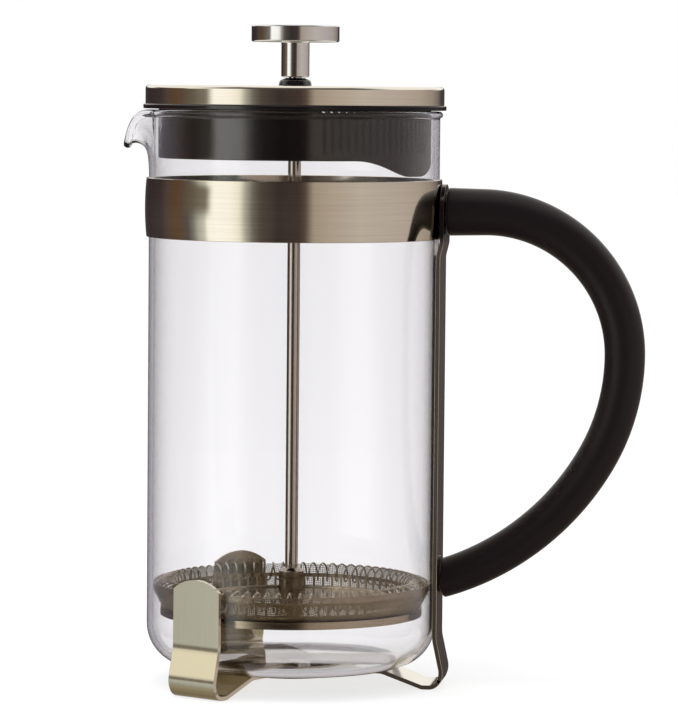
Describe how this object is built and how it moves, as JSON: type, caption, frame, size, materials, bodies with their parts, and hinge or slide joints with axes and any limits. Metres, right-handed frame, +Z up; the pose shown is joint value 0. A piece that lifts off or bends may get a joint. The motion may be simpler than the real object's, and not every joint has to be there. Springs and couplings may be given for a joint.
{
  "type": "french press",
  "caption": "Coffee press with a glass beaker in a three-legged steel stand, a D-shaped side handle, a lid with a strainer skirt, and a rod with a sprung mesh filter.",
  "frame": {"origin": "on the beaker's axis at the level of the table", "axes": "+Z up along the beaker's axis, +X towards the handle, -X towards the spout"},
  "size_m": [0.1744, 0.1, 0.218],
  "materials": {
    "glass": "clear borosilicate",
    "brushed_sheet": "brushed stainless steel",
    "polished_steel": "polished stainless steel",
    "filter_steel": "satin stainless steel",
    "woven_wire": "fine woven wire",
    "grip_plastic": "soft matt black",
    "liner_plastic": "satin black",
    "insert_brass": "turned"
  },
  "bodies": {
    "stand": {"collar_band": "brushed_sheet", "handle_strip": "brushed_sheet", "front_leg_strip": "brushed_sheet", "rear_leg_strip": "brushed_sheet", "base_disc": "brushed_sheet", "handle_grip": "grip_plastic", "handle_inserts": "insert_brass", "handle_washers": "liner_plastic", "handle_screws": "polished_steel"},
    "beaker": {"glass_beaker": "glass"},
    "rod_guide": {"lid_bush": "liner_plastic", "bush_nut": "liner_plastic"},
    "lid": {"lid_shell": "brushed_sheet", "lid_liner": "liner_plastic"},
    "plunger": {"knob": "polished_steel", "plunger_rod": "polished_steel", "rod_hub": "polished_steel"},
    "filter_pack": {"spring_plate": "filter_steel", "coil_spring": "filter_steel", "mesh_screen": "woven_wire", "cross_plate": "polished_steel", "filter_nut": "polished_steel"}
  },
  "joints": [
    {"name": "beaker_lift", "type": "slide", "parent": "stand", "child": "beaker", "axis": [0, 0, 1], "range_m": [0, 0.17]},
    {"name": "lid_lift", "type": "slide", "parent": "beaker", "child": "rod_guide", "axis": [0, 0, 1], "range_m": [0, 0.18]},
    {"name": "lid_turn", "type": "hinge", "parent": "rod_guide", "child": "lid", "pos_m": [0, 0, 0.195], "axis": [0, 0, 1], "continuous": true},
    {"name": "plunger_slide", "type": "slide", "parent": "rod_guide", "child": "plunger", "axis": [0, 0, 1], "range_m": [0, 0.13]},
    {"name": "filter_turn", "type": "hinge", "parent": "plunger", "child": "filter_pack", "pos_m": [0, 0, 0.026], "axis": [0, 0, 1], "continuous": true}
  ]
}
